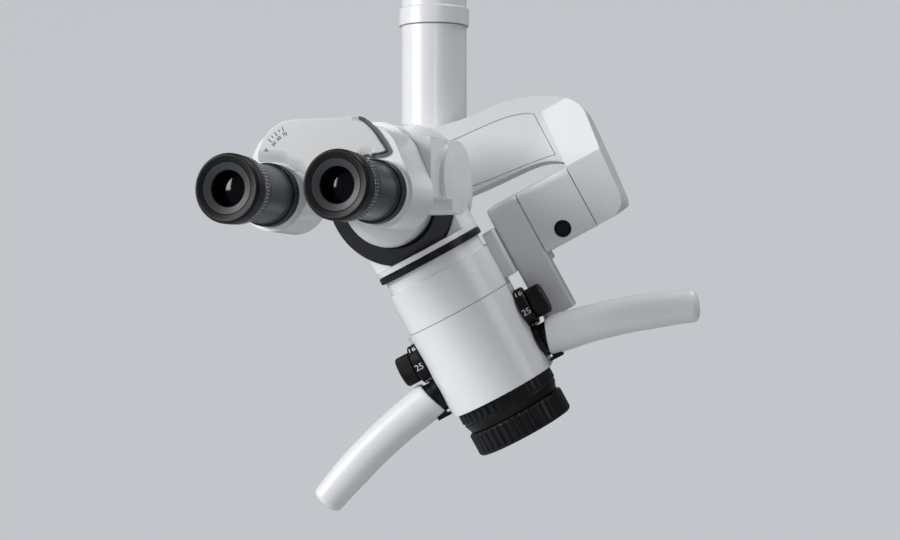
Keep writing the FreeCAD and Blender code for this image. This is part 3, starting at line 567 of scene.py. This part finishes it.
# The knurl's start on the dioptre ring, and the bands that the knurl and the sleeve base's ribs take
KNURL_START = 43.6
KNURL_BAND = (44.2, 49.1)
BASE_BAND = (0.6, 6.4)
PLAIN_COUNT = 128


class MICROSCOPE_OT_eyepieces(bpy.types.Operator):
    """Eyecups with their bevels, dioptre rings with their knurls, and sleeves with their ribbed bases"""
    bl_idname = "microscope.eyepieces"
    bl_label = "Eyepieces"

    def execute(self, context):
        ribs = context.scene.microscope_sizes.ring_ribs
        cup = soften([(17.05, 49.6, 0.2), (20.6, 49.6, 0.2), (21.5, 50.6, 0.8), (21.8, 54, 2.0),
                      (21.8, 60.2, 1.4), (20.9, 62, 0.9), (19.4, 61.9, 0.9), (16.3, 61.0, 0.4),
                      (16.1, 60.3, 0.2), (12.2, 58.7, 0.4), (12.2, 53.4, 0.2), (17.05, 53.4, 0.1)])
        liner = soften([(16.0, 60.5, 0.1), (16.0, 60.9, 0.2), (11.7, 59.5, 0.3), (11.3, 59.1, 0.2),
                        (11.6, 58.8, 0.1)])
        ring = soften([(17.05, 38.3, 0.1), (18.7, 38.3, 0.2), (19.3, 43.2, 0.6), (20.9, 44.0, 0.2),
                       (21.4, 44.5, 0.2), (21.4, 48.9, 0.3), (20.9, 49.3, 0.2), (17.05, 49.3, 0.1)])
        sleeve = soften([(11.2, -7.9, 0.1), (12.9, -7.9, 0.2), (12.9, -0.3, 0.1), (19.0, -0.3, 0.1),
                         (18.8, 7.3, 0.1), (18.3, 7.7, 0.2), (18.9, 36.4, 3.0), (18.7, 37.9, 0.4),
                         (17.0, 38.0, 0.1), (17.0, 53.0, 0.1), (14.0, 53.0, 0.1), (14.0, 4.0, 0.2),
                         (11.2, 4.0, 0.1)])
        base = soften([(19.1, -0.3, 0.1), (20.1, -0.3, 0.3), (20.2, 6.6, 0.3), (19.6, 7.4, 0.3),
                       (19.0, 7.4, 0.1)])
        plain = {"count": PLAIN_COUNT}
        knurled = {"count": 8 * ribs, "ribs": ribs, "depth": 0.9, "band": KNURL_BAND, "share": 0.4}
        ribbed = {"count": 16 * ribs, "ribs": 2 * ribs, "depth": 0.3, "band": BASE_BAND, "share": 0.4}
        for side, x in (("left", -EYE_SHIFT), ("right", EYE_SHIFT)):
            place = EYES @ shift(x, 0, 0) @ ALONG_MINUS_Y
            turned = (("soft_" + side + "_eyecup", cup, "rubber", "cup_" + side, "black_rubber", plain),
                      (side + "_cup_bevel", liner, "cup liner", "cup_" + side, "black_rubber", plain),
                      ("fine_" + side + "_diopter_ring", ring, "knurl", "diopter_" + side,
                       "black_anodised", knurled),
                      ("fine_" + side + "_sleeve", sleeve, "sleeve", "arm_" + side, "black_anodised", plain),
                      (side + "_sleeve_base", base, "anodised", "arm_" + side, "black_anodised", ribbed))
            for name, profile, finish, body, slot, grooves in turned:
                points, faces = ring_surface(profile, **grooves)
                piece = put_mesh(name, points, faces, place, FINISHES[finish], body)
                if finish == "knurl":
                    smooth = face_middles(piece, place)[:, 2] < KNURL_START
                    second_finish(piece, FINISHES["sleeve"], smooth)
                weigh_normals(piece)
            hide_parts(side + "_eyecup")
            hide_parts(side + "_diopter_ring")
            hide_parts(side + "_eyepiece")
        return {"FINISHED"}


# Centre line of the right grip in the body's frame: across, height and half height, in millimetres
GRIP_LINE = np.array([(40.6, -81.6, 13.2), (51, -83.3, 13.0), (59, -84.8, 12.8), (67, -86.3, 12.5),
                      (75, -88.1, 12.3), (84, -90.3, 12.2), (93, -92.8, 12.0), (103, -95.8, 11.95),
                      (112, -98.9, 11.85), (122, -102.4, 11.5), (131, -105.9, 11.1), (137, -108.3, 10.9)])
GRIP_END = 137
GRIP_WIDTH = 0.87
# The oblique start: its place across at one height above the centre line, its slope, the half height there
# and the nearest and farthest place
START_ACROSS = 47
START_UP = 12.6
START_SLOPE = 0.286
START_HALF = 13
START_RANGE = (40.7, 50)
# Near the start the edge draws in and the ellipses stand upright: how much, and how fast that fades
EDGE_DRAW = 0.05
EDGE_FADE = 160
UPRIGHT = 0.9
UPRIGHT_FADE = 30
# Forward run of the grip for each millimetre across, counted from the shaft's foot
GRIP_FOOT = 40.6
GRIP_RUN = -0.07
# Length and roundness of the tip, and how far it droops for each millimetre across
GRIP_TIP = 6.0
TIP_POWER = 0.77
TIP_DROOP = -0.4
# Height of the stub shaft, and the flat on the collar that leaves room for the lock button
SHAFT_HEIGHT = -81.5
COLLAR_FLAT = 7.1


def grip_surface(count=112):
    """Ellipse carried along the grip's centre line. The height and the half height are splines of x; each
    ellipse leans with the line's slope and is GRIP_WIDTH times as wide as high. The start lies on an oblique
    plane, and the tip closes as a superellipse: reach sin(a) against size cos(a), both to TIP_POWER."""
    angle = np.linspace(0, 2 * math.pi, count, endpoint=False)
    start = START_ACROSS + START_SLOPE * (START_HALF * np.sin(angle) - START_UP)
    start = np.clip(start, *START_RANGE)
    rows = np.concatenate([[0, 0.006, 0.016], np.linspace(0.03, 1, 70)])[:, None]
    x = start + (GRIP_END - start) * rows
    across, heights, halves = GRIP_LINE.T
    z = spline(across, heights, x)
    high = spline(across, halves, x) * (1 - EDGE_DRAW * np.exp(-rows * EDGE_FADE))
    lean = spline(across, heights, x + 0.5) - spline(across, heights, x - 0.5)
    length = np.sqrt(1 + lean ** 2)
    rise = high * np.sin(angle) * (1 - np.exp(-rows * UPRIGHT_FADE) * UPRIGHT)
    body = np.stack([x - rise * lean / length, GRIP_RUN * (x - GRIP_FOOT) + GRIP_WIDTH * high * np.cos(angle),
                     z + high * np.sin(angle) / length], -1)
    middle = body[:1].mean(1, keepdims=True)
    base = middle + (body[:1] - middle) * np.array([0.0, 0.5, 0.9])[:, None, None]
    turn_in = np.linspace(0, math.pi / 2, 14)[1:, None, None]
    last = body[-1]
    heart = last.mean(0)
    way = np.array([1.0, GRIP_RUN, TIP_DROOP])
    way /= np.linalg.norm(way)
    reach = way * GRIP_TIP * np.sin(turn_in) ** TIP_POWER
    tip = heart + reach + (last - heart) * np.cos(turn_in) ** TIP_POWER
    points = np.concatenate([base, body, tip])
    return points.reshape(-1, 3), grid_faces(len(points), count)[:-count]


class MICROSCOPE_OT_grips(bpy.types.Operator):
    """Two curved grips, each with a black collar round its stub shaft"""
    bl_idname = "microscope.grips"
    bl_label = "Grips"

    def execute(self, context):
        collar = soften([(6.1, 0.05, 0.1), (9.4, 0.05, 0.4), (9.4, 7.4, 0.1), (6.1, 7.4, 0.1)])
        for side, sign, heading in (("right", 1, ALONG_X), ("left", -1, ALONG_MINUS_X)):
            points, faces = grip_surface()
            body = "handle_" + side
            grip = put_mesh(side + "_grip", points * [sign, 1, 1], faces, BODY, FINISHES["grip"], body)
            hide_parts(side + "_handle")
            points, faces = ring_surface(collar, 96)
            points[:, 0] = sign * np.minimum(sign * points[:, 0], COLLAR_FLAT)
            place = BODY @ shift(sign * GRIP_FOOT, 0, SHAFT_HEIGHT) @ heading
            put_mesh(side + "_grip_collar", points, faces, place, FINISHES["plastic"], body)
        return {"FINISHED"}


# Ends of the bridge's face, and its two bosses: their middles across and up, and the left one's radius
FACE_LEFT = -45.95
FACE_RIGHT = 45.3
BOSS_ACROSS = 20
BOSS_UP = 22
BOSS_RADIUS = 26
# Upper edge to the right of the right boss, and the right half of the lower edge, which is the same on the
# left: points of (across, up)
TOP_EDGE = np.array([(20, 48), (26.3, 47.2), (31.5, 43.9), (36.4, 39.0), (40.7, 33.4), (43.5, 29.2),
                     (45.3, 25.6)])
LOW_EDGE = np.array([(0, 5.0), (7, 6.5), (12, 10.4), (16, 13.6), (20, 15.6), (24, 17.6), (28, 19.9),
                     (32, 20.9), (36.5, 21.4), (46, 21.6)])
# The round corner at the right end: its start, width, height and upper end, and where the lower edge begins
# to turn into it and over what width
CORNER_START = 36
CORNER_WIDTH = 9.3
CORNER_HEIGHT = 4.3
CORNER_END = 25.6
BLEND_START = 26
BLEND_WIDTH = 10
# Width and depth of the rounded upper edge and of the lower edge, and the plate's thickness
TOP_WIDTH = 0.9
TOP_DEPTH = 0.8
LOW_WIDTH = 8.0
LOW_DEPTH = 2.7
FACE_THICKNESS = 2.8
# The ledge: its depth, its width and slope along the upper and the lower edge, and where each begins
LEDGE_DEPTH = 2.0
TOP_LEDGE = 3.4
TOP_LEDGE_SLOPE = 1.1
TOP_LEDGE_FADE = 8
LOW_LEDGE = 3.2
LOW_LEDGE_SLOPE = 1.0
LOW_LEDGE_START = 30
LOW_LEDGE_FADE = 5
# Middle of the printed pupil scale on the face, across and up
SCALE_CENTRE = np.array([-BOSS_ACROSS, BOSS_UP], float)


def face_surface(columns=240, rows=72):
    """Plate under a height field: across runs from end to end and up from the lower edge to the upper one.
    The depth is a parabola near the upper and lower edges. At the right end it steps down to a ledge
    along the edge, whose faces the bridge operator colours near-black as painted shade."""
    share_across = 0.5 - 0.5 * np.cos(np.linspace(0, math.pi, columns))
    across = FACE_LEFT + (FACE_RIGHT - FACE_LEFT) * share_across
    table = np.linspace(BOSS_ACROSS, FACE_RIGHT, 200)
    right = np.interp(across, table, spline(TOP_EDGE[:, 0], TOP_EDGE[:, 1], table))
    beside = np.clip(-BOSS_ACROSS - across, 0, BOSS_RADIUS)
    left = BOSS_UP + np.sqrt(np.clip(BOSS_RADIUS ** 2 - beside ** 2, 0, None))
    top = np.where(across > BOSS_ACROSS, right, left)
    edge = np.concatenate([LOW_EDGE[:0:-1] * [-1, 1], LOW_EDGE])
    low = spline(edge[:, 0], edge[:, 1], across)
    round_off = np.clip(across - CORNER_START, 0, CORNER_WIDTH) / CORNER_WIDTH
    corner = CORNER_END - CORNER_HEIGHT * np.sqrt(np.clip(1 - round_off ** 2, 0, 1))
    blend = np.clip((across - BLEND_START) / BLEND_WIDTH, 0, 1)
    low = np.where(across > BLEND_START, low * (1 - blend) + corner * blend, low)
    low = np.minimum(low, top)
    share = np.linspace(0, 1, rows)[:, None]
    up = low + (top - low) * share
    slope_top = np.sqrt(1 + np.gradient(top, across) ** 2)
    slope_low = np.sqrt(1 + np.gradient(low, across) ** 2)
    from_top = (top - up) / slope_top
    from_low = (up - low) / slope_low
    fade_top = np.clip((across - BOSS_ACROSS) / TOP_LEDGE_FADE, 0, 1)
    fade_low = np.clip((across - LOW_LEDGE_START) / LOW_LEDGE_FADE, 0, 1)
    ledge = np.maximum(fade_top * step_up((TOP_LEDGE - from_top) / TOP_LEDGE_SLOPE),
                       fade_low * step_up((LOW_LEDGE - from_low) / LOW_LEDGE_SLOPE))
    depth = np.maximum(TOP_DEPTH * (1 - np.clip(from_top / TOP_WIDTH, 0, 1)) ** 2,
                       LOW_DEPTH * (1 - np.clip(from_low / LOW_WIDTH, 0, 1)) ** 2 * (1 - fade_low))
    depth = np.maximum(depth, LEDGE_DEPTH * ledge)
    front = np.stack([np.broadcast_to(across, up.shape), depth, up], -1)
    back = front[::-1] * [1, 0, 1] + [0, FACE_THICKNESS, 0]
    points = np.concatenate([front, back])
    faces = grid_faces(2 * rows, columns).reshape(2 * rows, columns, 4)[:, :-1].reshape(-1, 4)
    return points.reshape(-1, 3), faces


class MICROSCOPE_OT_bridge(bpy.types.Operator):
    """Face of the binocular bridge in greyed enamel as painted shade, with painted shade on the ledge at its
    right end, and the roll bearing's ring
    """
    bl_idname = "microscope.bridge"
    bl_label = "Bridge face and roll ring"

    def execute(self, context):
        points, faces = face_surface()
        # The face takes the greyed enamel: painted shade
        face = put_mesh("bridge_face", points, faces, EYES, FINISHES["face"], "binocular")
        across, depth, _ = face_middles(face, EYES).T
        # The ledge's floor faces beyond the right boss take the near-black finish: painted shade in the
        # groove
        lower = (depth > 0.5 * LEDGE_DEPTH) & (depth < 1.05 * LEDGE_DEPTH)
        second_finish(face, FINISHES["ledge"], lower & (across > BOSS_ACROSS + 1))
        post = soften([(0.02, -50.9, 0), (6.9, -50.9, 0.4), (6.9, -2.6, 0.1), (0.02, -2.6, 0)])
        for side, x in (("left", -BOSS_ACROSS), ("right", BOSS_ACROSS)):
            points, faces = ring_surface(post, 64)
            place = EYES @ shift(x, 0, BOSS_UP) @ ALONG_MINUS_Y
            piece = put_mesh(side + "_bridge_post", points, faces, place, FINISHES["enamel"], "binocular")
            weigh_normals(piece)
        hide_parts("bridge_cover")
        ring = soften([(22.5, 2.8, 0.2), (27.9, 2.8, 0.2), (27.9, 8.4, 0.2), (41.3, 8.4, 0.2),
                       (41.35, 12.2, 0.05), (45.0, 12.2, 0.2), (45.3, 13.0, 0.3), (44.4, 13.5, 0.3),
                       (33.0, 14.1, 0.6), (31.4, 13.2, 0.4), (22.5, 13.1, 0.2)])
        points, faces = ring_surface(ring, 256)
        piece = put_mesh("fine_roll_disc", points, faces, ROLLER @ ALONG_MINUS_Y, FINISHES["gloss"],
                         "roller")
        weigh_normals(piece)
        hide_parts("roll_disc")
        return {"FINISHED"}


# Depths of the printed marks' front and back and of the numbers' middle sheet, the marks' degrees round the
# scale, and the numbers at three of them with the radius they stand on
PRINT_FRONT = -0.04
PRINT_MIDDLE = -0.02
PRINT_BACK = 0.3
TICK_DEGREES = (143.5, 135.6, 127.8, 119.5, 112)
SCALE_NUMBERS = (("50", 143.5), ("60", 127.8), ("70", 112))
NUMBER_RADIUS = 17.4
LONG_TICK = (19.6, 22.6)
SHORT_TICK = (20.6, 22.2)
HALF_TICK = 0.3
POINTER = ((-41.6, 27.9), (-38.2, 27.9), (-39.5, 30.2))


class MICROSCOPE_OT_pupil_scale(bpy.types.Operator):
    """Printed pupil scale on the bridge's face: ticks, numbers and a pointer"""
    bl_idname = "microscope.pupil_scale"
    bl_label = "Pupil scale"

    def execute(self, context):
        height = context.scene.microscope_sizes.scale_digit / MM
        outlines = []
        for index, degrees in enumerate(TICK_DEGREES):
            angle = math.radians(degrees)
            way = np.array([math.cos(angle), math.sin(angle)])
            across = np.array([-way[1], way[0]]) * HALF_TICK
            inner, outer = LONG_TICK if index % 2 == 0 else SHORT_TICK
            outlines.append([SCALE_CENTRE + way * inner - across, SCALE_CENTRE + way * outer - across,
                             SCALE_CENTRE + way * outer + across, SCALE_CENTRE + way * inner + across])
        points, faces = thin_plates(outlines, PRINT_FRONT, PRINT_BACK)
        put_mesh("pupil_ticks", points, faces, EYES, FINISHES["ink"], "binocular")
        points, faces = thin_plates([POINTER], PRINT_FRONT, PRINT_BACK)
        put_mesh("pupil_pointer", points, faces, EYES, FINISHES["pale ink"], "binocular")
        for text, degrees in SCALE_NUMBERS:
            angle = math.radians(degrees)

            def print_flat(flat, angle=angle):
                up = NUMBER_RADIUS + flat[:, 1]
                return np.stack([SCALE_CENTRE[0] + up * math.cos(angle) + flat[:, 0] * math.sin(angle),
                                 PRINT_MIDDLE - flat[:, 2],
                                 SCALE_CENTRE[1] + up * math.sin(angle) - flat[:, 0] * math.cos(angle)], -1)

            label("pupil_number_" + text, text, height, print_flat, FINISHES["ink"], "binocular",
                  EYES, bold=0.03)
        return {"FINISHED"}


# Camera at the photo's viewing angle: place in metres, turn in degrees, lens and sensor in millimetres
CAMERA_PLACE = (0.339777, -1.861843, -0.288754)
CAMERA_TURN = (92.8, 0, 10)
CAMERA_LENS = 108
CAMERA_SENSOR = 36
CAMERA_NEAR = 0.05
# Place and side of each lamp, and the middle of the microscope that they aim at, in metres; power in watts
KEY_LAMP = ((-2.1, -1.6, 0.6), 1.2)
FILL_LAMP = ((2.3, -0.9, 0.9), 1.2)
CATCH_LAMP = ((0.7, -2.5, 0.2), 0.2)
TOP_LAMP = ((0.9, 0.2, 2.1), 1.1)
LAMP_AIM = (0.03, -0.1, -0.2)
CATCH_POWER = 3.0
# Share of the background's colour that the world sends as light, and that the paper shows of its own
WORLD_LIGHT = 0.27
PAPER_GLOW = 0.72
# Floor, in metres: radius of the flat, radius of the curve up and height of the wall; steps round it
FLAT_RADIUS = 4.5
CURVE_RADIUS = 2.5
WALL_TOP = 4.5
FLOOR_STEPS = 96


class MICROSCOPE_OT_stage(bpy.types.Operator):
    """Pale floor and backdrop, soft lamps and the camera"""
    bl_idname = "microscope.stage"
    bl_label = "Stage"

    def execute(self, context):
        stage = context.scene.microscope_stage
        self.make_floor(stage)
        self.make_world(stage)
        self.make_lamp("key lamp", *KEY_LAMP, stage.key_power)
        self.make_lamp("fill lamp", *FILL_LAMP, stage.fill_power)
        self.make_lamp("catch lamp", *CATCH_LAMP, CATCH_POWER)
        self.make_lamp("top lamp", *TOP_LAMP, stage.top_power)
        camera = bpy.data.cameras.new("photo camera")
        camera.lens = CAMERA_LENS
        camera.sensor_width = CAMERA_SENSOR
        camera.clip_start = CAMERA_NEAR
        holder = bpy.data.objects.new("photo camera", camera)
        holder.location = CAMERA_PLACE
        holder.rotation_euler = [math.radians(degrees) for degrees in CAMERA_TURN]
        context.scene.collection.objects.link(holder)
        context.scene.camera = holder
        context.scene.view_settings.view_transform = "Standard"
        return {"FINISHED"}

    def make_floor(self, stage):
        """A round floor that curves up into a wall on all sides: its section is a flat, a quarter circle
        and an upright, turned about Z."""
        bend = np.linspace(0, math.pi / 2, 12)
        radius = np.concatenate([[0.001, 2.0, 4.0], FLAT_RADIUS + CURVE_RADIUS * np.sin(bend),
                                 [FLAT_RADIUS + CURVE_RADIUS]])
        height = np.concatenate([[0, 0, 0], CURVE_RADIUS - CURVE_RADIUS * np.cos(bend), [WALL_TOP]])
        angle = np.linspace(0, 2 * math.pi, FLOOR_STEPS, endpoint=False)
        points = np.stack([radius[:, None] * np.cos(angle), radius[:, None] * np.sin(angle),
                           np.repeat(height[:, None] + stage.floor_drop, FLOOR_STEPS, 1)], -1).reshape(-1, 3)
        faces = grid_faces(len(radius), FLOOR_STEPS)[:-FLOOR_STEPS]
        mesh = bpy.data.meshes.new("floor")
        mesh.from_pydata(points.tolist(), [], faces.tolist())
        mesh.polygons.foreach_set("use_smooth", [True] * len(mesh.polygons))
        floor = bpy.data.objects.new("floor", mesh)
        bpy.context.scene.collection.objects.link(floor)
        mesh.materials.append(self.pale_paper(stage.background))

    def pale_paper(self, colour):
        """Matt paper that the camera sees at its own pale colour, also through glass, with its shadow."""
        finish = bpy.data.materials.new("pale paper")
        finish.use_nodes = True
        tree = finish.node_tree
        shader = tree.nodes["Principled BSDF"]
        shader.inputs["Base Color"].default_value = (*colour, 1)
        shader.inputs["Roughness"].default_value = 0.9
        glow = node(tree, "ShaderNodeEmission", 0, -300)
        glow.inputs["Color"].default_value = (*colour, 1)
        glow.inputs["Strength"].default_value = PAPER_GLOW
        both = node(tree, "ShaderNodeAddShader", 300, -100)
        tree.links.new(shader.outputs["BSDF"], both.inputs[0])
        tree.links.new(glow.outputs["Emission"], both.inputs[1])
        seen = node(tree, "ShaderNodeLightPath", 0, 500)
        direct = node(tree, "ShaderNodeMath", 200, 500, operation="MAXIMUM")
        tree.links.new(seen.outputs["Is Camera Ray"], direct.inputs[0])
        tree.links.new(seen.outputs["Is Transmission Ray"], direct.inputs[1])
        choice = node(tree, "ShaderNodeMixShader", 500, 0)
        tree.links.new(direct.outputs["Value"], choice.inputs["Fac"])
        tree.links.new(shader.outputs["BSDF"], choice.inputs[1])
        tree.links.new(both.outputs["Shader"], choice.inputs[2])
        tree.links.new(choice.outputs["Shader"], tree.nodes["Material Output"].inputs["Surface"])
        return finish

    def make_world(self, stage):
        world = bpy.data.worlds.new("studio")
        bpy.context.scene.world = world
        world.use_nodes = True
        back = world.node_tree.nodes["Background"]
        back.inputs["Color"].default_value = (*stage.background, 1)
        back.inputs["Strength"].default_value = WORLD_LIGHT

    def make_lamp(self, name, place, size, power):
        lamp = bpy.data.lights.new(name, "AREA")
        lamp.size = size
        lamp.energy = power
        holder = bpy.data.objects.new(name, lamp)
        holder.location = place
        aim = Vector(LAMP_AIM) - Vector(place)
        holder.rotation_euler = aim.to_track_quat("-Z", "Y").to_euler()
        bpy.context.scene.collection.objects.link(holder)


class MICROSCOPE_PT_panel(bpy.types.Panel):
    """Sizes, colours and pieces of the microscope"""
    bl_label = "Surgical microscope"
    bl_idname = "MICROSCOPE_PT_panel"
    bl_space_type = "VIEW_3D"
    bl_region_type = "UI"
    bl_category = "Microscope"

    def draw(self, context):
        layout = self.layout
        for group in (context.scene.microscope_finishes, context.scene.microscope_sizes,
                      context.scene.microscope_stage):
            box = layout.box()
            for name in group.__annotations__:
                box.prop(group, name)
        for operator in OPERATORS:
            layout.operator(operator.bl_idname)


OPERATORS = (MICROSCOPE_OT_finishes, MICROSCOPE_OT_dials, MICROSCOPE_OT_objective, MICROSCOPE_OT_eyepieces,
             MICROSCOPE_OT_grips, MICROSCOPE_OT_bridge, MICROSCOPE_OT_pupil_scale, MICROSCOPE_OT_stage)
GROUPS = {"microscope_finishes": MICROSCOPE_PG_finishes, "microscope_sizes": MICROSCOPE_PG_sizes,
          "microscope_stage": MICROSCOPE_PG_stage}


def register():
    for name, group in GROUPS.items():
        bpy.utils.register_class(group)
        setattr(bpy.types.Scene, name, PointerProperty(type=group))
    for operator in OPERATORS:
        bpy.utils.register_class(operator)
    bpy.utils.register_class(MICROSCOPE_PT_panel)


def unregister():
    bpy.utils.unregister_class(MICROSCOPE_PT_panel)
    for operator in reversed(OPERATORS):
        bpy.utils.unregister_class(operator)
    for name, group in GROUPS.items():
        delattr(bpy.types.Scene, name)
        bpy.utils.unregister_class(group)


def main():
    register()
    bpy.ops.microscope.finishes()
    bpy.ops.microscope.dials()
    bpy.ops.microscope.objective()
    bpy.ops.microscope.eyepieces()
    bpy.ops.microscope.grips()
    bpy.ops.microscope.bridge()
    bpy.ops.microscope.pupil_scale()
    bpy.ops.microscope.stage()


if __name__ == "__main__":
    main()
